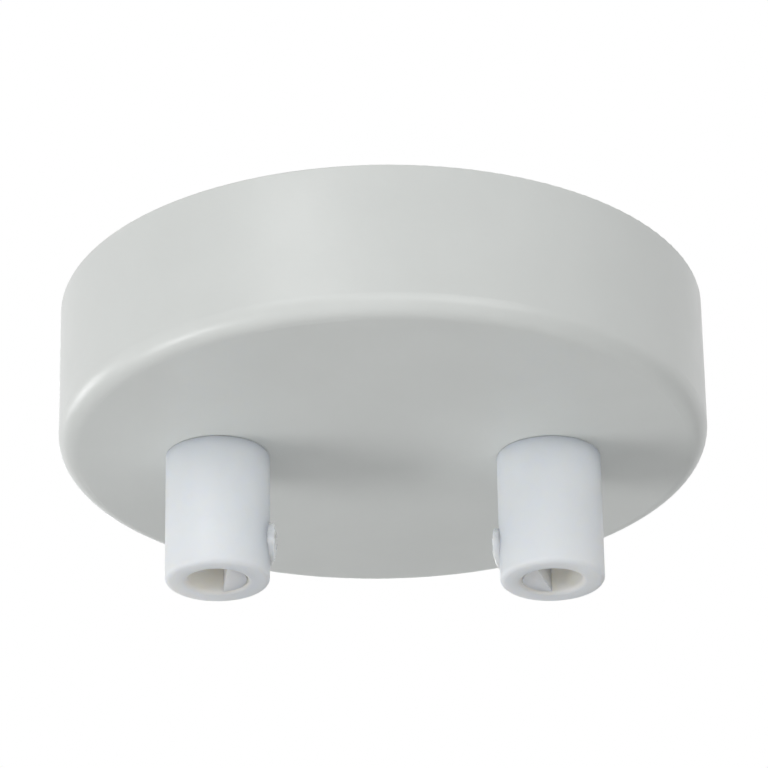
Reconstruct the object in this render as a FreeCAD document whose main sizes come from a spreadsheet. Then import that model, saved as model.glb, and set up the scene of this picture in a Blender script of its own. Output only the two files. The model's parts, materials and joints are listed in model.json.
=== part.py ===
import FreeCAD, Part
import Sketcher
import os

# Electrical ceiling rose with two pendant outlets, in millimetres.
# The origin is the centre of the ceiling plane, +Z points up into the ceiling, and the outlets lie on X.

os.makedirs("parts", exist_ok=True)
doc = FreeCAD.newDocument("ceiling_rose")
sheet = doc.addObject("Spreadsheet::Sheet", "d")

# Driving sizes
SIZES = {
    "canopy_diameter": 100.0,
    "canopy_height": 24.0,
    "sheet_thickness": 1.0,
    "edge_radius": 3.0,
    "rim_break": 0.25,
    "outlet_spacing": 51.0,
    "outlet_clearance": 0.2,
    "running_clearance": 0.05,
    "seat_clearance": 0.02,
    "strip_width": 22.0,
    "strip_thickness": 1.5,
    "leg_width": 14.0,
    "leg_drop": 13.0,
    "leg_gap": 1.5,
    "leg_shoulder": 6.5,
    "bend_radius": 1.0,
    "slot_width": 4.6,
    "slot_length": 18.0,
    "slot_spacing": 54.0,
    "side_screw_diameter": 4.0,
    "side_screw_length": 10.0,
    "side_screw_drop": 8.0,
    "side_screw_sink": 0.2,
    "side_slot_width": 1.0,
    "side_slot_depth": 1.2,
    "side_hole_clearance": 0.25,
    "collar_diameter": 7.0,
    "collar_length": 2.0,
    "grip_diameter": 16.0,
    "grip_length": 21.0,
    "grip_edge": 0.8,
    "grip_shoulder": 0.3,
    "stem_diameter": 10.0,
    "stem_length": 10.0,
    "stem_chamfer": 0.7,
    "stem_bore": 7.2,
    "grip_bore": 9.2,
    "mouth_edge": 0.8,
    "bore_step": 7.0,
    "clamp_rise": 6.6,
    "clamp_diameter": 4.0,
    "clamp_head_diameter": 6.4,
    "clamp_head_rim": 1.3,
    "clamp_head_dome": 0.7,
    "clamp_slot_width": 1.0,
    "clamp_slot_depth": 0.7,
    "clamp_tip_diameter": 2.2,
    "clamp_tip_length": 1.1,
    "head_seat_depth": 1.7,
    "head_recess_clearance": 0.12,
    "jaw_clearance": 0.05,
    "jaw_thickness": 3.35,
    "jaw_height": 12.0,
    "jaw_recess": 0.3,
    "jaw_edge": 0.15,
    "jaw_travel": 0.8,
    "left_clamp_angle": 4.0,
    "right_clamp_angle": 162.0,
    "washer_diameter": 18.0,
    "washer_thickness": 1.0,
    "washer_clearance": 0.25,
    "washer_teeth": 12,
    "tooth_depth": 2.0,
    "notch_width": 1.4,
    "nut_width": 14.0,
    "nut_height": 4.0,
    "nut_bevel_rise": 0.577,
    "pole_pitch": 11.0,
    "pole_diameter": 7.2,
    "pole_length": 17.0,
    "pole_drop": 4.0,
    "plate_thickness": 2.5,
    "tower_diameter": 5.8,
    "tower_height": 13.5,
    "tower_offset": 4.2,
    "tower_edge": 0.5,
    "insert_diameter": 5.0,
    "insert_length": 15.0,
    "insert_bore": 3.2,
    "terminal_screw_diameter": 3.0,
    "terminal_screw_length": 5.0,
    "terminal_head_diameter": 3.5,
    "terminal_head_height": 1.6,
    "terminal_slot_width": 0.6,
    "terminal_slot_depth": 0.8,
    "terminal_tip_entry": 0.1,
    "terminal_head_clearance": 0.15,
    "block_screw_diameter": 2.5,
    "block_head_diameter": 4.2,
    "block_head_height": 1.6,
    "block_head_clearance": 0.1,
    "block_seat_depth": 2.0,
    "earth_across": 20.0,
    "earth_along": 6.8,
    "earth_screw_diameter": 4.0,
    "earth_head_diameter": 6.6,
    "earth_head_height": 2.4,
    "earth_slot_width": 1.0,
    "earth_slot_depth": 1.2,
    "earth_washer_diameter": 7.6,
    "earth_washer_thickness": 0.8,
    "ceiling_clearance": 0.2,
    "screw_chamfer": 0.35,
    "cut_margin": 1.0,
}

# Sizes that follow from the driving ones
FOLLOWING = {
    "canopy_radius": "canopy_diameter / 2",
    "canopy_inside": "canopy_radius - sheet_thickness",
    "canopy_floor": "canopy_height - sheet_thickness",
    "inner_edge_radius": "edge_radius - sheet_thickness",
    "outlet_offset": "outlet_spacing / 2",
    "outlet_radius": "stem_diameter / 2 + outlet_clearance",
    "side_hole_radius": "side_screw_diameter / 2 + side_hole_clearance",
    "side_screw_radius": "side_screw_diameter / 2",
    "side_thread_radius": "side_screw_radius + running_clearance",
    "side_screw_tip": "side_screw_length - screw_chamfer",
    "side_screw_tip_radius": "side_screw_radius - screw_chamfer",
    "side_screw_reach": "canopy_radius - side_screw_sink",
    "side_slot_half": "side_slot_width / 2",
    "leg_face": "canopy_inside - leg_gap",
    "leg_inside": "leg_face - strip_thickness",
    "leg_neck": "leg_face - leg_shoulder",
    "leg_past": "leg_face + cut_margin",
    "leg_half": "leg_width / 2",
    "strip_half": "strip_width / 2",
    "strip_past": "strip_half + cut_margin",
    "bend_outside": "bend_radius + strip_thickness",
    "slot_radius": "slot_width / 2",
    "slot_offset": "slot_spacing / 2",
    "slot_near": "slot_offset - slot_length / 2 + slot_radius",
    "slot_far": "slot_offset + slot_length / 2 - slot_radius",
    "collar_radius": "collar_diameter / 2",
    "collar_end": "leg_inside - collar_length",
    "collar_root": "leg_inside + strip_thickness / 2",
    "grip_radius": "grip_diameter / 2",
    "stem_radius": "stem_diameter / 2",
    "stem_neck": "stem_radius - stem_chamfer",
    "stem_shoulder": "stem_length - stem_chamfer",
    "stem_bore_radius": "stem_bore / 2",
    "grip_bore_radius": "grip_bore / 2",
    "clamp_drop": "grip_length - clamp_rise",
    "clamp_radius": "clamp_diameter / 2",
    "clamp_thread_radius": "clamp_radius + running_clearance",
    "clamp_head_radius": "clamp_head_diameter / 2",
    "head_seat": "grip_radius - head_seat_depth",
    "head_recess_radius": "clamp_head_radius + head_recess_clearance",
    "grip_past": "grip_radius + cut_margin",
    "head_home": "head_seat + running_clearance",
    "head_out": "head_home + jaw_travel",
    "head_top": "clamp_head_rim + clamp_head_dome",
    "head_past": "head_top + cut_margin",
    "head_slot_floor": "head_top - clamp_slot_depth",
    "clamp_slot_half": "clamp_slot_width / 2",
    "jaw_radius": "grip_bore_radius - jaw_clearance",
    "jaw_face": "jaw_radius - jaw_thickness",
    "jaw_foot": "grip_length - jaw_recess",
    "jaw_home": "jaw_radius - jaw_travel",
    "jaw_past": "jaw_radius + cut_margin",
    "clamp_shank": "head_home - jaw_home - running_clearance",
    "clamp_end": "clamp_shank + clamp_tip_length",
    "clamp_tip_radius": "clamp_tip_diameter / 2",
    "clamp_tip_neck": "clamp_tip_radius - screw_chamfer",
    "clamp_tip_shoulder": "clamp_end - screw_chamfer",
    "socket_radius": "clamp_tip_radius + running_clearance",
    "socket_floor": "jaw_radius - clamp_tip_length - running_clearance",
    "washer_radius": "washer_diameter / 2",
    "washer_past": "washer_radius + cut_margin",
    "washer_inside": "stem_radius + washer_clearance",
    "notch_root": "washer_radius - tooth_depth",
    "notch_half": "notch_width / 2",
    "washer_seat": "canopy_floor",
    "nut_seat": "canopy_floor - washer_thickness",
    "nut_half": "nut_width / 2",
    "nut_corner": "nut_width / sqrt(3)",
    "nut_half_corner": "nut_corner / 2",
    "nut_past": "nut_corner + cut_margin",
    "nut_bevel": "(nut_past - nut_half) * nut_bevel_rise",
    "nut_bevel_top": "nut_height - nut_bevel",
    "nut_thread_radius": "stem_radius + running_clearance",
    "pole_radius": "pole_diameter / 2",
    "block_half": "pole_pitch + pole_radius",
    "pole_half": "pole_length / 2",
    "tower_radius": "tower_diameter / 2",
    "insert_radius": "insert_diameter / 2",
    "insert_bore_radius": "insert_bore / 2",
    "pole_bore_radius": "insert_radius + seat_clearance",
    "terminal_screw_radius": "terminal_screw_diameter / 2",
    "terminal_thread_radius": "terminal_screw_radius + running_clearance",
    "terminal_head_radius": "terminal_head_diameter / 2",
    "tower_bore_radius": "terminal_head_radius + terminal_head_clearance",
    "terminal_tip": "terminal_screw_length - screw_chamfer",
    "terminal_tip_radius": "terminal_screw_radius - screw_chamfer",
    "terminal_slot_floor": "terminal_head_height - terminal_slot_depth",
    "terminal_slot_half": "terminal_slot_width / 2",
    "terminal_past": "terminal_head_height + cut_margin",
    "pole_level": "strip_thickness + pole_drop",
    "terminal_seat": "pole_level + insert_bore_radius - terminal_tip_entry + terminal_screw_length",
    "block_screw_offset": "pole_pitch / 2",
    "block_screw_radius": "block_screw_diameter / 2",
    "block_thread_radius": "block_screw_radius + running_clearance",
    "block_head_radius": "block_head_diameter / 2",
    "block_recess_radius": "block_head_radius + block_head_clearance",
    "block_screw_length": "block_seat_depth + strip_thickness - ceiling_clearance",
    "block_screw_tip": "block_screw_length - screw_chamfer",
    "block_screw_tip_radius": "block_screw_radius - screw_chamfer",
    "block_slot_floor": "block_head_height - terminal_slot_depth",
    "block_past": "block_head_height + cut_margin",
    "block_screw_seat": "strip_thickness + block_seat_depth",
    "earth_screw_radius": "earth_screw_diameter / 2",
    "earth_thread_radius": "earth_screw_radius + running_clearance",
    "earth_head_radius": "earth_head_diameter / 2",
    "earth_seat": "strip_thickness + earth_washer_thickness",
    "earth_screw_length": "earth_seat - ceiling_clearance",
    "earth_tip": "earth_screw_length - screw_chamfer",
    "earth_tip_radius": "earth_screw_radius - screw_chamfer",
    "earth_slot_floor": "earth_head_height - earth_slot_depth",
    "earth_slot_half": "earth_slot_width / 2",
    "earth_past": "earth_head_height + cut_margin",
    "earth_washer_radius": "earth_washer_diameter / 2",
    "earth_washer_inside": "earth_screw_radius + washer_clearance",
}

row = 0
for name, value in SIZES.items():
    row += 1
    sheet.set(f"A{row}", name)
    sheet.set(f"B{row}", str(value))
    sheet.setAlias(f"B{row}", name)
for name, formula in FOLLOWING.items():
    row += 1
    sheet.set(f"A{row}", name)
    sheet.set(f"B{row}", "=" + formula)
    sheet.setAlias(f"B{row}", name)
doc.recompute()

TINY = 1e-4
FULL_TURN = 360.0
QUARTER_TURN = 90.0
HALF_TURN = 180.0
UP = FreeCAD.Vector(0, 0, 1)
ACROSS = FreeCAD.Vector(0, 1, 0)
ALONG = FreeCAD.Vector(1, 0, 0)


def size(name):
    return float(sheet.get(name))


def number(text):
    # A coordinate is 0 or the name of a size, with a minus sign in front if it is negative.
    if text == "0":
        return 0.0
    if text.startswith("-"):
        return -size(text[1:])
    return size(text)


# Sketch helpers
def new_body(label):
    body = doc.addObject("PartDesign::Body", label)
    body.Label = label
    return body


def origin(body, role):
    return next(f for f in body.Origin.OriginFeatures if f.Role == role)


def new_sketch(body, name, role, level="0"):
    # level moves the sketch along its own second axis on an upright plane, and along its normal on XY.
    sketch = body.newObject("Sketcher::SketchObject", body.Label + "_" + name)
    sketch.AttachmentSupport = [(origin(body, role), "")]
    sketch.MapMode = "FlatFace"
    if level != "0":
        field = "z" if role == "XY_Plane" else "y"
        sign = "-" if level.startswith("-") else ""
        sketch.setExpression("AttachmentOffset.Base." + field, sign + "d." + level.lstrip("-"))
    return sketch


def pin(sketch, geo, pos, x, y):
    for kind, axis, text in (("DistanceX", -2, x), ("DistanceY", -1, y)):
        if text == "0":
            sketch.addConstraint(Sketcher.Constraint("PointOnObject", geo, pos, axis))
            continue
        name = text.lstrip("-")
        ends = (geo, pos, -1, 1) if text.startswith("-") else (-1, 1, geo, pos)
        index = sketch.addConstraint(Sketcher.Constraint(kind, *ends, size(name)))
        sketch.setExpression(f"Constraints[{index}]", "d." + name)


def outline(sketch, points):
    first = sketch.GeometryCount
    count = len(points)
    spots = [FreeCAD.Vector(number(x), number(y), 0) for x, y in points]
    for i in range(count):
        sketch.addGeometry(Part.LineSegment(spots[i], spots[(i + 1) % count]))
    for i in range(count):
        after = first + (i + 1) % count
        sketch.addConstraint(Sketcher.Constraint("Coincident", first + i, 2, after, 1))
        pin(sketch, first + i, 1, *points[i])


def rectangle(sketch, x0, x1, y0, y1):
    outline(sketch, [(x0, y0), (x1, y0), (x1, y1), (x0, y1)])


def circle(sketch, x, y, radius):
    centre = FreeCAD.Vector(number(x), number(y), 0)
    geo = sketch.addGeometry(Part.Circle(centre, UP, size(radius)))
    pin(sketch, geo, 3, x, y)
    index = sketch.addConstraint(Sketcher.Constraint("Radius", geo, size(radius)))
    sketch.setExpression(f"Constraints[{index}]", "d." + radius)


# Feature helpers
def pad(body, name, sketch, length, symmetric=False, down=False):
    feature = body.newObject("PartDesign::Pad", body.Label + "_" + name)
    feature.Profile = sketch
    feature.setExpression("Length", "d." + length)
    if symmetric:
        feature.SideType = "Symmetric"
    feature.Reversed = down
    doc.recompute()
    return feature


def pocket(body, name, sketch, symmetric=False):
    # A one-sided pocket cuts all the way along the sketch's negative normal.
    feature = body.newObject("PartDesign::Pocket", body.Label + "_" + name)
    feature.Profile = sketch
    feature.Type = "ThroughAll"
    if symmetric:
        feature.SideType = "Symmetric"
    doc.recompute()
    return feature


def turned(body, name, sketch, axis="V_Axis", cut=False):
    kind = "PartDesign::Groove" if cut else "PartDesign::Revolution"
    feature = body.newObject(kind, body.Label + "_" + name)
    feature.Profile = sketch
    feature.ReferenceAxis = (sketch, [axis])
    feature.Angle = FULL_TURN
    doc.recompute()
    return feature


def ring_edges(base, radius, level):
    # Names of the whole-circle edges about the body's own Z axis at this radius and level.
    names = []
    for i, edge in enumerate(base.Shape.Edges):
        curve = edge.Curve
        if curve.TypeId != "Part::GeomCircle" or abs(curve.Radius - radius) > TINY:
            continue
        offset = curve.Center - FreeCAD.Vector(0, 0, level)
        if offset.Length < TINY:
            names.append(f"Edge{i + 1}")
    return names


def cross_edges(base, x, z):
    # Names of the straight edges that run along Y at this x and z.
    names = []
    for i, edge in enumerate(base.Shape.Edges):
        if edge.Curve.TypeId != "Part::GeomLine":
            continue
        if all(abs(v.X - x) < TINY and abs(v.Z - z) < TINY for v in edge.Vertexes):
            names.append(f"Edge{i + 1}")
    return names


def rounded(body, name, base, edges, radius):
    feature = body.newObject("PartDesign::Fillet", body.Label + "_" + name)
    feature.Base = (base, edges)
    feature.setExpression("Radius", "d." + radius)
    doc.recompute()
    return feature


def place(body, x, y, z, rotation=FreeCAD.Rotation()):
    body.Placement = FreeCAD.Placement(FreeCAD.Vector(0, 0, 0), rotation)
    for field, text in (("x", x), ("y", y), ("z", z)):
        if text == "0":
            continue
        sign = "-" if text.startswith("-") else ""
        body.setExpression("Placement.Base." + field, sign + "d." + text.lstrip("-"))


# Canopy: one cup pressed from sheet, open to the ceiling
def make_canopy():
    body = new_body("canopy")
    section = new_sketch(body, "section", "XZ_Plane")
    outline(section, [
        ("canopy_radius", "0"),
        ("canopy_radius", "-canopy_height"),
        ("0", "-canopy_height"),
        ("0", "-canopy_floor"),
        ("canopy_inside", "-canopy_floor"),
        ("canopy_inside", "0"),
    ])
    cup = turned(body, "cup", section)
    outer = ring_edges(cup, size("canopy_radius"), -size("canopy_height"))
    edge = rounded(body, "edge", cup, outer, "edge_radius")
    inner = ring_edges(edge, size("canopy_inside"), -size("canopy_floor"))
    inside = rounded(body, "inside_edge", edge, inner, "inner_edge_radius")
    rim = ring_edges(inside, size("canopy_radius"), 0.0)
    rounded(body, "rim", inside, rim, "rim_break")
    outlets = new_sketch(body, "outlets", "XY_Plane")
    circle(outlets, "-outlet_offset", "0", "outlet_radius")
    circle(outlets, "outlet_offset", "0", "outlet_radius")
    pocket(body, "outlet_holes", outlets)
    sides = new_sketch(body, "sides", "YZ_Plane", "-side_screw_drop")
    circle(sides, "0", "0", "side_hole_radius")
    pocket(body, "side_holes", sides, symmetric=True)
    return body


# Mounting bracket: a strip bent down at both ends, with a drawn thread collar in each leg
def make_bracket():
    body = new_body("mounting_bracket")
    section = new_sketch(body, "section", "XZ_Plane")
    outline(section, [
        ("-leg_face", "0"),
        ("leg_face", "0"),
        ("leg_face", "-leg_drop"),
        ("leg_inside", "-leg_drop"),
        ("leg_inside", "-strip_thickness"),
        ("-leg_inside", "-strip_thickness"),
        ("-leg_inside", "-leg_drop"),
        ("-leg_face", "-leg_drop"),
    ])
    strip = pad(body, "strip", section, "strip_width", symmetric=True)
    reach = size("leg_face")
    outer = cross_edges(strip, reach, 0.0) + cross_edges(strip, -reach, 0.0)
    bend = rounded(body, "bend", strip, outer, "bend_outside")
    reach = size("leg_inside")
    under = -size("strip_thickness")
    inner = cross_edges(bend, reach, under) + cross_edges(bend, -reach, under)
    rounded(body, "bend_inside", bend, inner, "bend_radius")
    shoulders = new_sketch(body, "shoulders", "XY_Plane")
    rectangle(shoulders, "leg_neck", "leg_past", "leg_half", "strip_past")
    rectangle(shoulders, "leg_neck", "leg_past", "-leg_half", "-strip_past")
    rectangle(shoulders, "-leg_neck", "-leg_past", "leg_half", "strip_past")
    rectangle(shoulders, "-leg_neck", "-leg_past", "-leg_half", "-strip_past")
    pocket(body, "narrow_legs", shoulders)
    collars = new_sketch(body, "collars", "XZ_Plane", "-side_screw_drop")
    rectangle(collars, "collar_end", "collar_root", "0", "collar_radius")
    rectangle(collars, "-collar_end", "-collar_root", "0", "collar_radius")
    turned(body, "thread_collars", collars, axis="H_Axis")
    threads = new_sketch(body, "threads", "YZ_Plane", "-side_screw_drop")
    circle(threads, "0", "0", "side_thread_radius")
    pocket(body, "side_threads", threads, symmetric=True)
    slots = new_sketch(body, "slots", "XY_Plane")
    rectangle(slots, "slot_near", "slot_far", "-slot_radius", "slot_radius")
    rectangle(slots, "-slot_near", "-slot_far", "-slot_radius", "slot_radius")
    pocket(body, "slot_lengths", slots)
    ends = new_sketch(body, "slot_end_arcs", "XY_Plane")
    for x in ("slot_near", "slot_far", "-slot_near", "-slot_far"):
        circle(ends, x, "0", "slot_radius")
    pocket(body, "slot_ends", ends)
    tapped = new_sketch(body, "tapped", "XY_Plane")
    circle(tapped, "block_screw_offset", "0", "block_thread_radius")
    circle(tapped, "-block_screw_offset", "0", "block_thread_radius")
    circle(tapped, "earth_across", "earth_along", "earth_thread_radius")
    pocket(body, "tapped_holes", tapped)
    return body


# Cord grip: moulded body and threaded stem in one, bored for the cord, with a side hole for the clamp screw
def make_grip(label):
    body = new_body(label)
    section = new_sketch(body, "section", "XZ_Plane")
    outline(section, [
        ("stem_bore_radius", "stem_length"),
        ("stem_neck", "stem_length"),
        ("stem_radius", "stem_shoulder"),
        ("stem_radius", "0"),
        ("grip_radius", "0"),
        ("grip_radius", "-grip_length"),
        ("grip_bore_radius", "-grip_length"),
        ("grip_bore_radius", "-bore_step"),
        ("stem_bore_radius", "-bore_step"),
    ])
    blank = turned(body, "blank", section)
    end = ring_edges(blank, size("grip_radius"), -size("grip_length"))
    edge = rounded(body, "end_edge", blank, end, "grip_edge")
    mouth = ring_edges(edge, size("grip_bore_radius"), -size("grip_length"))
    lip = rounded(body, "mouth", edge, mouth, "mouth_edge")
    top = ring_edges(lip, size("grip_radius"), 0.0)
    rounded(body, "shoulder", lip, top, "grip_shoulder")
    hole = new_sketch(body, "clamp_hole_section", "XZ_Plane", "-clamp_drop")
    outline(hole, [
        ("0", "0"),
        ("grip_past", "0"),
        ("grip_past", "head_recess_radius"),
        ("head_seat", "head_recess_radius"),
        ("head_seat", "clamp_thread_radius"),
        ("0", "clamp_thread_radius"),
    ])
    turned(body, "clamp_hole", hole, axis="H_Axis", cut=True)
    return body


# Cord jaw: a flat-faced segment that slides in the bore, with a socket for the tip of the clamp screw
def make_jaw(label):
    body = new_body(label)
    plan = new_sketch(body, "plan", "XY_Plane", "-jaw_foot")
    circle(plan, "0", "0", "jaw_radius")
    blank = pad(body, "blank", plan, "jaw_height")
    rims = ring_edges(blank, size("jaw_radius"), -size("jaw_foot"))
    rounded(body, "foot_edge", blank, rims, "jaw_edge")
    face = new_sketch(body, "face", "XY_Plane")
    rectangle(face, "-jaw_past", "jaw_face", "-jaw_past", "jaw_past")
    pocket(body, "flat", face)
    socket = new_sketch(body, "socket_section", "XZ_Plane", "-clamp_drop")
    rectangle(socket, "socket_floor", "jaw_past", "0", "socket_radius")
    turned(body, "socket", socket, axis="H_Axis", cut=True)
    return body


# Clamp screw: domed slotted head, plain shank for the thread, and a swivel tip
def make_clamp_screw(label):
    body = new_body(label)
    section = new_sketch(body, "section", "XZ_Plane")
    points = [
        ("0", "-clamp_end"),
        ("clamp_tip_neck", "-clamp_end"),
        ("clamp_tip_radius", "-clamp_tip_shoulder"),
        ("clamp_tip_radius", "-clamp_shank"),
        ("clamp_radius", "-clamp_shank"),
        ("clamp_radius", "0"),
        ("clamp_head_radius", "0"),
        ("clamp_head_radius", "clamp_head_rim"),
        ("0", "head_top"),
    ]
    spots = [FreeCAD.Vector(number(x), number(y), 0) for x, y in points]
    rim, crown = spots[-2], spots[-1]
    for start, stop in zip(spots[:-2], spots[1:-1]):
        section.addGeometry(Part.LineSegment(start, stop))
    dome = size("clamp_head_dome")
    sphere = (size("clamp_head_radius") ** 2 + dome ** 2) / (2 * dome)
    centre = FreeCAD.Vector(0, crown.y - sphere, 0)
    diagonal = FreeCAD.Vector(rim.x - centre.x, rim.y - centre.y, 0)
    middle = (diagonal.normalize() + FreeCAD.Vector(0, 1, 0)).normalize()
    arc = section.addGeometry(Part.Arc(rim, centre + middle * sphere, crown))
    close = section.addGeometry(Part.LineSegment(crown, spots[0]))
    for i in range(arc):
        pin(section, i, 1, *points[i])
    for i in range(arc - 1):
        section.addConstraint(Sketcher.Constraint("Coincident", i, 2, i + 1, 1))
    pin(section, arc - 1, 2, *points[-2])
    section.addConstraint(Sketcher.Constraint("Coincident", arc - 1, 2, arc, 1))
    section.addConstraint(Sketcher.Constraint("Coincident", arc, 2, close, 1))
    section.addConstraint(Sketcher.Constraint("Coincident", close, 2, 0, 1))
    pin(section, close, 1, *points[-1])
    section.addConstraint(Sketcher.Constraint("PointOnObject", arc, 3, -2))
    turned(body, "blank", section)
    cut = new_sketch(body, "slot_section", "XZ_Plane")
    rectangle(cut, "-clamp_slot_half", "clamp_slot_half", "head_slot_floor", "head_past")
    pocket(body, "slot", cut, symmetric=True)
    return body


# Plain slotted screw: tip at the bottom of Z, head above 0
def make_screw(label, radius, tip_radius, tip, length, head_radius, head_height, slot_half, floor, past):
    body = new_body(label)
    section = new_sketch(body, "section", "XZ_Plane")
    outline(section, [
        ("0", "-" + length),
        (tip_radius, "-" + length),
        (radius, "-" + tip),
        (radius, "0"),
        (head_radius, "0"),
        (head_radius, head_height),
        ("0", head_height),
    ])
    blank = turned(body, "blank", section)
    top = ring_edges(blank, size(head_radius), size(head_height))
    rounded(body, "head_edge", blank, top, "screw_chamfer")
    cut = new_sketch(body, "slot_section", "XZ_Plane")
    rectangle(cut, "-" + slot_half, slot_half, floor, past)
    pocket(body, "slot", cut, symmetric=True)
    return body


# Headless side screw: slotted outer end at 0, tip at the bottom of Z
def make_side_screw(label):
    body = new_body(label)
    section = new_sketch(body, "section", "XZ_Plane")
    outline(section, [
        ("0", "-side_screw_length"),
        ("side_screw_tip_radius", "-side_screw_length"),
        ("side_screw_radius", "-side_screw_tip"),
        ("side_screw_radius", "-screw_chamfer"),
        ("side_screw_tip_radius", "0"),
        ("0", "0"),
    ])
    turned(body, "blank", section)
    cut = new_sketch(body, "slot_section", "XZ_Plane")
    rectangle(cut, "-side_slot_half", "side_slot_half", "-side_slot_depth", "cut_margin")
    pocket(body, "slot", cut, symmetric=True)
    return body


# Lock washer: a ring with teeth all round its edge
def make_lock_washer(label):
    body = new_body(label)
    plan = new_sketch(body, "plan", "XY_Plane")
    circle(plan, "0", "0", "washer_radius")
    circle(plan, "0", "0", "washer_inside")
    pad(body, "ring", plan, "washer_thickness")
    notch = new_sketch(body, "notch_plan", "XY_Plane", "washer_thickness")
    rectangle(notch, "notch_root", "washer_past", "-notch_half", "notch_half")
    cut = pocket(body, "notch", notch)
    teeth = body.newObject("PartDesign::PolarPattern", label + "_teeth")
    teeth.Originals = [cut]
    teeth.Axis = (origin(body, "Z_Axis"), [""])
    teeth.Angle = FULL_TURN
    teeth.setExpression("Occurrences", "d.washer_teeth")
    body.Tip = teeth
    doc.recompute()
    return body


# Hexagon nut, bevelled at both faces
def make_nut(label):
    body = new_body(label)
    plan = new_sketch(body, "plan", "XY_Plane")
    outline(plan, [
        ("nut_corner", "0"),
        ("nut_half_corner", "nut_half"),
        ("-nut_half_corner", "nut_half"),
        ("-nut_corner", "0"),
        ("-nut_half_corner", "-nut_half"),
        ("nut_half_corner", "-nut_half"),
    ])
    circle(plan, "0", "0", "nut_thread_radius")
    pad(body, "hexagon", plan, "nut_height")
    bevel = new_sketch(body, "bevel_section", "XZ_Plane")
    outline(bevel, [("nut_half", "0"), ("nut_past", "0"), ("nut_past", "nut_bevel")])
    outline(bevel, [("nut_half", "nut_height"), ("nut_past", "nut_bevel_top"), ("nut_past", "nut_height")])
    turned(body, "bevels", bevel, cut=True)
    return body


# Terminal housing: three moulded barrels on a plate, each with two screw towers
def make_housing():
    body = new_body("terminal_housing")
    plan = new_sketch(body, "plate_plan", "XY_Plane")
    rectangle(plan, "-block_half", "block_half", "-pole_half", "pole_half")
    pad(body, "plate", plan, "plate_thickness", down=True)
    barrels = new_sketch(body, "barrel_section", "XZ_Plane", "-pole_drop")
    bores = ("-pole_pitch", "0", "pole_pitch")
    for x in bores:
        circle(barrels, x, "0", "pole_radius")
    pad(body, "barrels", barrels, "pole_length", symmetric=True)
    towers = new_sketch(body, "tower_plan", "XY_Plane")
    for x in bores:
        circle(towers, x, "tower_offset", "tower_radius")
        circle(towers, x, "-tower_offset", "tower_radius")
    raised = pad(body, "towers", towers, "tower_height", down=True)
    ends = []
    for i, edge in enumerate(raised.Shape.Edges):
        if all(abs(v.Z + size("tower_height")) < TINY for v in edge.Vertexes):
            ends.append(f"Edge{i + 1}")
    rounded(body, "tower_ends", raised, ends, "tower_edge")
    ways = new_sketch(body, "bore_section", "XZ_Plane", "-pole_drop")
    for x in bores:
        circle(ways, x, "0", "pole_bore_radius")
    pocket(body, "bores", ways, symmetric=True)
    shafts = new_sketch(body, "shaft_plan", "XY_Plane", "-pole_drop")
    for x in bores:
        circle(shafts, x, "tower_offset", "tower_bore_radius")
        circle(shafts, x, "-tower_offset", "tower_bore_radius")
    pocket(body, "screw_shafts", shafts)
    fixing = new_sketch(body, "fixing_plan", "XY_Plane")
    circle(fixing, "-block_screw_offset", "0", "block_thread_radius")
    circle(fixing, "block_screw_offset", "0", "block_thread_radius")
    pocket(body, "fixing_holes", fixing)
    seats = new_sketch(body, "seat_plan", "XY_Plane", "-block_seat_depth")
    circle(seats, "-block_screw_offset", "0", "block_recess_radius")
    circle(seats, "block_screw_offset", "0", "block_recess_radius")
    pocket(body, "fixing_seats", seats)
    return body


# Terminal insert: a brass tube with two tapped holes from below
def make_insert(label):
    body = new_body(label)
    section = new_sketch(body, "section", "XZ_Plane")
    circle(section, "0", "0", "insert_radius")
    circle(section, "0", "0", "insert_bore_radius")
    pad(body, "tube", section, "insert_length", symmetric=True)
    holes = new_sketch(body, "hole_plan", "XY_Plane")
    circle(holes, "0", "tower_offset", "terminal_thread_radius")
    circle(holes, "0", "-tower_offset", "terminal_thread_radius")
    pocket(body, "screw_holes", holes)
    return body


def make_earth_washer():
    body = new_body("earth_washer")
    plan = new_sketch(body, "plan", "XY_Plane")
    circle(plan, "0", "0", "earth_washer_radius")
    circle(plan, "0", "0", "earth_washer_inside")
    pad(body, "ring", plan, "earth_washer_thickness")
    return body


# Assembly
pieces = []
pieces.append(make_canopy())
pieces.append(make_bracket())

DOWN = FreeCAD.Rotation(ALONG, HALF_TURN)
OUTWARD = FreeCAD.Rotation(ACROSS, QUARTER_TURN)

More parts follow.
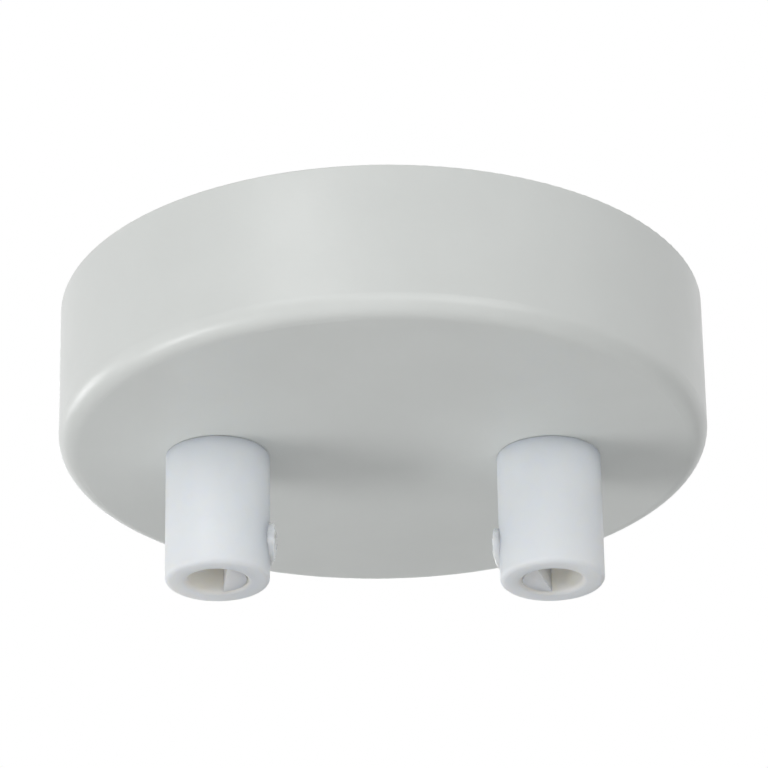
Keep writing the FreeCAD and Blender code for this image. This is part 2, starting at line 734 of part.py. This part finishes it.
for side, mark, turn in (("left", "-", "left_clamp_angle"), ("right", "", "right_clamp_angle")):
    spin = FreeCAD.Rotation(UP, size(turn))
    outlet = mark + "outlet_offset"
    grip = make_grip(side + "_cord_grip")
    place(grip, outlet, "0", "-canopy_height", spin)
    pieces.append(grip)

    # The jaw lies back against the bore's wall, so the screw stands out by the jaw's whole travel.
    jaw = make_jaw(side + "_cord_jaw")
    place(jaw, outlet, "0", "-canopy_height", spin)
    pieces.append(jaw)
    screw = make_clamp_screw(side + "_clamp_screw")
    level = FreeCAD.Vector(number(outlet), 0, -size("canopy_height") - size("clamp_drop"))
    head = level + spin.multVec(ALONG) * size("head_out")
    screw.Placement = FreeCAD.Placement(head, spin.multiply(OUTWARD))
    pieces.append(screw)

    washer = make_lock_washer(side + "_lock_washer")
    place(washer, outlet, "0", "-washer_seat")
    pieces.append(washer)
    nut = make_nut(side + "_stem_nut")
    place(nut, outlet, "0", "-nut_seat")
    pieces.append(nut)

    turned_out = FreeCAD.Rotation(UP, HALF_TURN if mark else 0.0).multiply(OUTWARD)
    driver = make_side_screw(side + "_side_screw")
    place(driver, mark + "side_screw_reach", "0", "-side_screw_drop", turned_out)
    pieces.append(driver)

    fixing = make_screw(
        side + "_block_screw", "block_screw_radius", "block_screw_tip_radius", "block_screw_tip",
        "block_screw_length", "block_head_radius", "block_head_height", "terminal_slot_half",
        "block_slot_floor", "block_past",
    )
    place(fixing, mark + "block_screw_offset", "0", "-block_screw_seat", DOWN)
    pieces.append(fixing)

housing = make_housing()
place(housing, "0", "0", "-strip_thickness")
pieces.append(housing)

for pole, x in (("left", "-pole_pitch"), ("middle", "0"), ("right", "pole_pitch")):
    insert = make_insert("terminal_insert_" + pole)
    place(insert, x, "0", "-pole_level")
    pieces.append(insert)
    for end, y in (("front", "-tower_offset"), ("rear", "tower_offset")):
        screw = make_screw(
            "terminal_screw_" + pole + "_" + end, "terminal_screw_radius", "terminal_tip_radius",
            "terminal_tip", "terminal_screw_length", "terminal_head_radius", "terminal_head_height",
            "terminal_slot_half", "terminal_slot_floor", "terminal_past",
        )
        place(screw, x, y, "-terminal_seat", DOWN)
        pieces.append(screw)

earth = make_screw(
    "earth_screw", "earth_screw_radius", "earth_tip_radius", "earth_tip",
    "earth_screw_length", "earth_head_radius", "earth_head_height", "earth_slot_half",
    "earth_slot_floor", "earth_past",
)
place(earth, "earth_across", "earth_along", "-earth_seat", DOWN)
pieces.append(earth)
washer = make_earth_washer()
place(washer, "earth_across", "earth_along", "-earth_seat")
pieces.append(washer)

doc.recompute()

# Every object must be sound before a file is written
for item in doc.Objects:
    if "Invalid" in item.State or "Error" in item.State:
        raise RuntimeError(item.Label + " did not build")
for piece in pieces:
    if piece.Shape.isNull() or not piece.Shape.isValid() or len(piece.Shape.Solids) != 1:
        raise RuntimeError(piece.Label + " is not one sound solid")
    piece.Shape.exportStep("parts/" + piece.Label + ".step")
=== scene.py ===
import json
import math

import bmesh
import bpy
from mathutils import Matrix, Vector


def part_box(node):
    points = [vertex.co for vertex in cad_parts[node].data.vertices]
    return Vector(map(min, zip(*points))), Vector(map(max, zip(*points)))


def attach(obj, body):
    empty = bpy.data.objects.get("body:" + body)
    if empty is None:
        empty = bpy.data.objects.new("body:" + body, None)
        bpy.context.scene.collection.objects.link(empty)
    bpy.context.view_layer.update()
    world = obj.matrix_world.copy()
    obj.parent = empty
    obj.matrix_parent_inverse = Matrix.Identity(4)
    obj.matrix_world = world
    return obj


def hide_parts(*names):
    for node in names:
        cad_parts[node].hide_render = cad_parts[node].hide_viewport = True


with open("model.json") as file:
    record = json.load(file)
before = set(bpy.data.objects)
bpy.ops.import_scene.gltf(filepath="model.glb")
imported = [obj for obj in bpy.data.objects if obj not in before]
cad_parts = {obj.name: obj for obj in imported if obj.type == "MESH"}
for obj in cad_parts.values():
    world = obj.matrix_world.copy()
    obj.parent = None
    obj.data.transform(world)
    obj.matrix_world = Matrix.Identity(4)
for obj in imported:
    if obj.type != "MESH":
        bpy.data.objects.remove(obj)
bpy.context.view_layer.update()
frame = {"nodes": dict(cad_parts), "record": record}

MM = 0.001
nodes = frame["nodes"]
behaviour = frame["record"]["behaviour"]
slot_of = {part["node"]: part["material_slot"] for part in frame["record"]["subparts"]}
body_of = {node: body for body, members in behaviour["bodies"].items() for node in members}

# Camera fitted to the photograph, aimed at the centre of the ceiling plane, then panned, tilted and rolled
CAMERA_DISTANCE = 0.67035
CAMERA_ELEVATION = -26.7169
CAMERA_AZIMUTH = -2.1771
CAMERA_PAN = -0.0245
CAMERA_TILT = -0.8865
CAMERA_ROLL = 0.9054
CAMERA_LENS = 200.622
SENSOR_WIDTH = 36.0
CLIP_START = 0.01


def make_camera():
    elevation = math.radians(CAMERA_ELEVATION)
    place = Vector((0, -math.cos(elevation), math.sin(elevation))) * CAMERA_DISTANCE
    ahead = -place.normalized()
    right = Vector((1, 0, 0))
    up = right.cross(ahead)
    turn = Matrix.Rotation(math.radians(CAMERA_PAN), 3, up)
    ahead, right = turn @ ahead, turn @ right
    turn = Matrix.Rotation(math.radians(CAMERA_TILT), 3, right)
    ahead, up = turn @ ahead, turn @ up
    turn = Matrix.Rotation(math.radians(CAMERA_ROLL), 3, ahead)
    right, up = turn @ right, turn @ up
    facing = Matrix((right, up, -ahead)).transposed().to_4x4()
    around = Matrix.Rotation(math.radians(CAMERA_AZIMUTH), 4, "Z")
    data = bpy.data.cameras.new("camera")
    data.lens = CAMERA_LENS
    data.sensor_width = SENSOR_WIDTH
    data.clip_start = CLIP_START
    camera = bpy.data.objects.new("camera", data)
    bpy.context.scene.collection.objects.link(camera)
    camera.matrix_world = around @ Matrix.Translation(place) @ facing
    bpy.context.scene.camera = camera


make_camera()

# Material helpers; a noise texture lies mostly between these two values
NOISE_LOW = 0.3
NOISE_HIGH = 0.7
# A small scale along one axis draws a noise texture out along it
ALONG_STRIP = (0.08, 1.0, 1.0)
ALONG_GRIP = (1.0, 1.0, 0.15)
ALONG_SCREW = (1.0, 1.0, 0.2)


def math_node(tree, operation, *values):
    node = tree.nodes.new("ShaderNodeMath")
    node.operation = operation
    for socket, value in zip(node.inputs, values):
        if isinstance(value, float):
            socket.default_value = value
        else:
            tree.links.new(value, socket)
    return node.outputs[0]


class Shader:
    def __init__(self, name):
        self.material = bpy.data.materials.new(name)
        self.material.use_nodes = True
        self.tree = self.material.node_tree
        self.main = self.tree.nodes["Principled BSDF"]
        self.coords = self.tree.nodes.new("ShaderNodeTexCoord").outputs["Object"]

    def link(self, source, target):
        self.tree.links.new(source, target)

    def drive(self, name, source):
        self.link(source, self.main.inputs[name])

    def set(self, **values):
        for name, value in values.items():
            self.main.inputs[name.replace("_", " ")].default_value = value

    def math(self, operation, *values):
        return math_node(self.tree, operation, *values)

    def noise(self, scale, detail, stretch=None):
        node = self.tree.nodes.new("ShaderNodeTexNoise")
        node.inputs["Scale"].default_value = scale
        node.inputs["Detail"].default_value = detail
        source = self.coords
        if stretch:
            mapping = self.tree.nodes.new("ShaderNodeMapping")
            mapping.inputs["Scale"].default_value = stretch
            self.link(source, mapping.inputs["Vector"])
            source = mapping.outputs["Vector"]
        self.link(source, node.inputs["Vector"])
        return node.outputs["Fac"]

    def spread(self, source, low, high, start=NOISE_LOW, stop=NOISE_HIGH):
        node = self.tree.nodes.new("ShaderNodeMapRange")
        node.inputs["From Min"].default_value = start
        node.inputs["From Max"].default_value = stop
        node.inputs["To Min"].default_value = low
        node.inputs["To Max"].default_value = high
        self.link(source, node.inputs["Value"])
        return node.outputs["Result"]

    def ramp(self, source, low, high):
        node = self.tree.nodes.new("ShaderNodeValToRGB")
        first, last = node.color_ramp.elements
        first.position, first.color = NOISE_LOW, (*low, 1)
        last.position, last.color = NOISE_HIGH, (*high, 1)
        self.link(source, node.inputs["Fac"])
        return node.outputs["Color"]

    def bump(self, source, strength, distance, under=None):
        node = self.tree.nodes.new("ShaderNodeBump")
        node.inputs["Strength"].default_value = strength
        node.inputs["Distance"].default_value = distance
        self.link(source, node.inputs["Height"])
        if under:
            self.link(under, node.inputs["Normal"])
        return node.outputs["Normal"]


# Satin white coat of the canopy, with a faint orange peel
def powder_coat():
    s = Shader("satin_white_paint")
    tone = s.noise(scale=60, detail=4)
    s.drive("Base Color", s.ramp(tone, low=(0.725, 0.745, 0.727), high=(0.750, 0.770, 0.752)))
    s.drive("Roughness", s.spread(s.noise(scale=220, detail=3), low=0.29, high=0.36))
    s.set(Specular_IOR_Level=0.36, Coat_Weight=0.06, Coat_Roughness=0.2)
    peel = s.bump(s.noise(scale=900, detail=2), strength=0.10, distance=0.0002)
    grain = s.noise(scale=3200, detail=2)
    s.drive("Normal", s.bump(grain, strength=0.05, distance=0.0001, under=peel))
    return s.material


# Translucent nylon; the grips' bores are painted warmer and paler than their outside, as painted light
# standing in for light that passes through the nylon into the shaded bores
OUTLET_PLACE = sum(corner[0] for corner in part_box("right_cord_grip")) / 2
GRIP_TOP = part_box("canopy")[0][2]
BORE_RADIUS = 4.6 * MM
LIP_RADIUS = 5.3 * MM
BORE_FADE = 2.0 * MM
# Painted light: the warm, pale colour given to the shaded bores of the grips
BORE_PAINTED_LIGHT = (0.97, 0.945, 0.875, 1)


def painted_bore_light_mask(s):
    # Mask of the painted light in the bores: one on the wall of a cord bore, fading out over the lip of its
    # mouth and towards the stem
    place = s.tree.nodes.new("ShaderNodeSeparateXYZ")
    s.link(s.coords, place.inputs[0])
    x, y, z = place.outputs
    across = s.math("SUBTRACT", s.math("ABSOLUTE", x), OUTLET_PLACE)
    square = s.math("ADD", s.math("MULTIPLY", across, across), s.math("MULTIPLY", y, y))
    within = s.spread(s.math("SQRT", square), low=1.0, high=0.0, start=BORE_RADIUS, stop=LIP_RADIUS)
    below = s.spread(z, low=1.0, high=0.0, start=GRIP_TOP - BORE_FADE, stop=GRIP_TOP)
    return s.math("MULTIPLY", within, below)


def nylon(name, tones, rough, depth, paint_bore_light=False):
    s = Shader(name)
    colour = s.ramp(s.noise(scale=140, detail=3), *tones)
    # Mixes painted light into the colour on the bore walls
    if paint_bore_light:
        mix = s.tree.nodes.new("ShaderNodeMixRGB")
        mix.inputs["Color2"].default_value = BORE_PAINTED_LIGHT
        s.link(painted_bore_light_mask(s), mix.inputs["Fac"])
        s.link(colour, mix.inputs["Color1"])
        colour = mix.outputs["Color"]
    s.drive("Base Color", colour)
    s.drive("Roughness", s.spread(s.noise(scale=420, detail=3), *rough))
    s.set(Subsurface_Weight=0.75, Subsurface_Radius=(1.0, 0.88, 0.7), Subsurface_Scale=depth)
    s.set(IOR=1.53, Specular_IOR_Level=0.4)
    flow = s.bump(s.noise(scale=150, detail=2, stretch=ALONG_GRIP), strength=0.06, distance=0.0003)
    grain = s.noise(scale=2600, detail=2)
    s.drive("Normal", s.bump(grain, strength=0.08, distance=0.0001, under=flow))
    return s.material


# Zinc, bright plating and brass, with a grain that is drawn out one way
def metal(name, tones, rough, stretch):
    s = Shader(name)
    s.drive("Base Color", s.ramp(s.noise(scale=180, detail=4), *tones))
    s.drive("Roughness", s.spread(s.noise(scale=500, detail=4, stretch=stretch), *rough))
    s.set(Metallic=1.0)
    grain = s.bump(s.noise(scale=1200, detail=3, stretch=stretch), strength=0.12, distance=0.0001)
    waves = s.noise(scale=260, detail=2)
    s.drive("Normal", s.bump(waves, strength=0.05, distance=0.0003, under=grain))
    return s.material


# Ivory polyamide of the terminal block
def moulded_plastic():
    s = Shader("terminal_plastic")
    tone = s.noise(scale=160, detail=3)
    s.drive("Base Color", s.ramp(tone, low=(0.70, 0.69, 0.64), high=(0.76, 0.75, 0.70)))
    s.drive("Roughness", s.spread(s.noise(scale=350, detail=3), low=0.38, high=0.52))
    s.set(Subsurface_Weight=0.2, Subsurface_Radius=(1.0, 0.8, 0.6), Subsurface_Scale=0.001)
    s.drive("Normal", s.bump(s.noise(scale=2400, detail=2), strength=0.12, distance=0.0001))
    return s.material


# Each finish has two colours and two roughness values, and nylon has a depth of scattering in metres
GRIP_TONES = (0.83, 0.865, 0.895), (0.85, 0.885, 0.91)
JAW_TONES = (0.90, 0.90, 0.885), (0.92, 0.92, 0.905)
CLAMP_TONES = (0.78, 0.80, 0.81), (0.82, 0.84, 0.85)
ZINC_TONES = (0.50, 0.515, 0.54), (0.60, 0.61, 0.625)
SCREW_TONES = (0.62, 0.62, 0.61), (0.72, 0.72, 0.70)
BRASS_TONES = (0.68, 0.49, 0.21), (0.78, 0.58, 0.27)
# The grips' nylon carries the painted light in their bores
grip_nylon_painted_bore_light = nylon("grip_nylon_painted_bore_light", GRIP_TONES, rough=(0.41, 0.52), depth=0.008, paint_bore_light=True)
materials = {
    "satin_white_paint": powder_coat(),
    "white_nylon": nylon("white_nylon", JAW_TONES, rough=(0.41, 0.52), depth=0.008),
    "natural_nylon": nylon("natural_nylon", CLAMP_TONES, rough=(0.23, 0.34), depth=0.004),
    "zinc_plated_steel": metal("zinc_plated_steel", ZINC_TONES, rough=(0.30, 0.46), stretch=ALONG_STRIP),
    "plated_screw": metal("plated_screw", SCREW_TONES, rough=(0.22, 0.36), stretch=ALONG_SCREW),
    "brass": metal("brass", BRASS_TONES, rough=(0.22, 0.38), stretch=ALONG_SCREW),
    "terminal_plastic": moulded_plastic(),
}
for name, slot in slot_of.items():
    mesh = nodes[name].data
    mesh.materials.clear()
    mesh.materials.append(grip_nylon_painted_bore_light if name.endswith("_cord_grip") else materials[slot])

# Threads, rolled into the plain round walls of the solids; depth, crest and run-out are shares of the pitch
ROWS_PER_TURN = 8
THREAD_DEPTH = 0.6134
CREST_FLAT = 0.12
RUN_OUT = 0.6
ALONG_X = Vector((1, 0, 0))
ALONG_Z = Vector((0, 0, 1))
# In millimetres: the plain length is at the low end of each piece, and the chamfer at its high end
THREADED = {
    "cord_grip": dict(axis=ALONG_Z, radius=5.0, plain=21.0, chamfer=0.7, pitch=1.0),
    "side_screw": dict(axis=ALONG_X, radius=2.0, plain=0.35, chamfer=0.35, pitch=0.7),
    "terminal_screw": dict(axis=ALONG_Z, radius=1.5, plain=1.6, chamfer=0.35, pitch=0.5),
    "block_screw": dict(axis=ALONG_Z, radius=1.25, plain=1.6, chamfer=0.35, pitch=0.45),
    "earth_screw": dict(axis=ALONG_Z, radius=2.0, plain=2.4, chamfer=0.35, pitch=0.7),
}
# In millimetres, outward from the grip's axis
CLAMP_THREAD = dict(radius=2.0, start=4.6, stop=7.15, pitch=0.7)
# A wall's face has corners this close to the radius and a normal this square to the axis
ON_WALL = 0.03 * MM
UPRIGHT = 0.3


def threaded(node, base, axis, radius, start, stop, pitch):
    # A copy of the solid: the wall of this radius is cut into rows and pressed in along a right-hand helix
    radius, start, stop, pitch = radius * MM, start * MM, stop * MM, pitch * MM
    side = axis.orthogonal().normalized()
    other = axis.cross(side)

    def split(point):
        offset = point - base
        along = offset.dot(axis)
        return along, offset - axis * along

    def on_wall(face):
        places = [split(vert.co) for vert in face.verts]
        round_here = all(abs(out.length - radius) < ON_WALL for along, out in places)
        in_reach = all(start - ON_WALL < along < stop + ON_WALL for along, out in places)
        return round_here and in_reach and abs(face.normal.dot(axis)) < UPRIGHT

    mesh = nodes[node].data.copy()
    mesh.name = node + "_threaded"
    work = bmesh.new()
    work.from_mesh(mesh)
    wall = [face for face in work.faces if on_wall(face)]
    rows = int((stop - start) / pitch * ROWS_PER_TURN)
    for i in range(1, rows):
        level = base + axis * (start + (stop - start) * i / rows)
        edges = {edge for face in wall for edge in face.edges}
        verts = {vert for face in wall for vert in face.verts}
        cut = bmesh.ops.bisect_plane(work, geom=[*wall, *edges, *verts], plane_co=level, plane_no=axis)
        wall = [item for item in cut["geom"] if isinstance(item, bmesh.types.BMFace)]
    for vert in {vert for face in wall for vert in face.verts}:
        along, out = split(vert.co)
        turn = math.atan2(out.dot(other), out.dot(side)) / math.tau
        wave = abs(2 * ((along / pitch - turn) % 1.0) - 1)
        press = min(max((wave - CREST_FLAT) / (1 - 2 * CREST_FLAT), 0.0), 1.0)
        fade = min((along - start) / (pitch * RUN_OUT), (stop - along) / (pitch * RUN_OUT), 1.0)
        vert.co -= out.normalized() * (press * max(fade, 0.0) * pitch * THREAD_DEPTH)
    work.to_mesh(mesh)
    work.free()
    if "custom_normal" in mesh.attributes:
        mesh.attributes.remove(mesh.attributes["custom_normal"])
    mesh.shade_smooth()
    piece = bpy.data.objects.new(mesh.name, mesh)
    bpy.context.scene.collection.objects.link(piece)
    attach(piece, body_of[node])
    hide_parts(node)


def make_threads():
    for word, thread in THREADED.items():
        axis, radius, pitch = thread["axis"], thread["radius"], thread["pitch"]
        for node in [name for name in slot_of if word in name]:
            low, high = (Vector(corner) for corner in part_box(node))
            reach = (high - low).dot(axis) / 2 / MM
            start, stop = thread["plain"] - reach, reach - thread["chamfer"]
            threaded(node, (low + high) / 2, axis, radius, start, stop, pitch)
    for joint in behaviour["joints"]:
        if joint["name"].endswith("_clamp_turn"):
            outward = -Vector(joint["axis"])
            threaded(joint["child"] + "_screw", Vector(joint["pos_m"]), outward, **CLAMP_THREAD)


make_threads()

# Studio: places and sizes are in metres, powers in watts
WORLD_SHOWN = (1, 1, 1, 1)
WORLD_LIGHT = (0.985, 0.995, 1.0, 1)
WORLD_LEVEL = 0.23
LAMPS = {
    "key": dict(place=(-0.99, -0.17, -0.90), size=0.7, power=9.6),
    "front": dict(place=(0.1, -1.49, 0.0), size=0.9, power=3.4),
    "front_right": dict(place=(0.75, -1.29, -0.13), size=0.9, power=5.1),
    "front_left": dict(place=(-0.71, -1.24, 0.46), size=0.9, power=4.9),
    "rim": dict(place=(-1.29, 0.75, -0.13), size=0.6, power=4.2),
    "rear": dict(place=(0.0, 0.72, 0.3), size=0.3, power=1.3),
    "top": dict(place=(0.06, 0.12, 0.42), size=0.25, power=0.4),
}
FLOOR_DEPTH = -0.9
FLOOR_SIZE = 18.0
FLOOR_TONES = (0.80, 0.80, 0.80), (0.82, 0.82, 0.82)
FLOOR_SEEN = 0.6
FLOOR_MIRRORED = 0.3


def seen_rays(tree, direct, mirrored):
    # A level for rays from the eye, one for those mirrored or passed on, and zero for light on the object
    path = tree.nodes.new("ShaderNodeLightPath").outputs
    seen = math_node(tree, "MULTIPLY", path["Is Camera Ray"], direct)
    for ray in ("Is Glossy Ray", "Is Transmission Ray"):
        seen = math_node(tree, "MAXIMUM", seen, math_node(tree, "MULTIPLY", path[ray], mirrored))
    return seen


def make_world():
    # White to the eye and in reflections, and a plain level of light for the object
    world = bpy.data.worlds.new("studio")
    bpy.context.scene.world = world
    world.use_nodes = True
    tree = world.node_tree
    light = tree.nodes.new("ShaderNodeBackground")
    light.inputs["Color"].default_value = WORLD_LIGHT
    light.inputs["Strength"].default_value = WORLD_LEVEL
    shown = tree.nodes.new("ShaderNodeBackground")
    shown.inputs["Color"].default_value = WORLD_SHOWN
    mix = tree.nodes.new("ShaderNodeMixShader")
    tree.links.new(seen_rays(tree, direct=1.0, mirrored=1.0), mix.inputs["Fac"])
    tree.links.new(light.outputs[0], mix.inputs[1])
    tree.links.new(shown.outputs[0], mix.inputs[2])
    tree.links.new(mix.outputs[0], tree.nodes["World Output"].inputs["Surface"])


def area_light(name, place, size, power):
    data = bpy.data.lights.new(name, "AREA")
    data.shape = "DISK"
    data.size = size
    data.energy = power
    lamp = bpy.data.objects.new(name, data)
    bpy.context.scene.collection.objects.link(lamp)
    lamp.location = place
    lamp.rotation_euler = (-Vector(place)).to_track_quat("-Z", "Y").to_euler()


def make_floor():
    half = FLOOR_SIZE / 2
    corners = [(-half, -half), (half, -half), (half, half), (-half, half)]
    mesh = bpy.data.meshes.new("floor")
    mesh.from_pydata([(x, y, FLOOR_DEPTH) for x, y in corners], [], [(0, 1, 2, 3)])
    floor = bpy.data.objects.new("floor", mesh)
    bpy.context.scene.collection.objects.link(floor)
    s = Shader("floor_paint")
    s.drive("Base Color", s.ramp(s.noise(scale=3, detail=2), *FLOOR_TONES))
    s.drive("Emission Strength", seen_rays(s.tree, FLOOR_SEEN, FLOOR_MIRRORED))
    s.set(Roughness=0.8, Emission_Color=(1, 1, 1, 1))
    mesh.materials.append(s.material)


make_world()
for name, lamp in LAMPS.items():
    area_light(name, **lamp)
make_floor()
bpy.context.scene.view_settings.view_transform = "Standard"
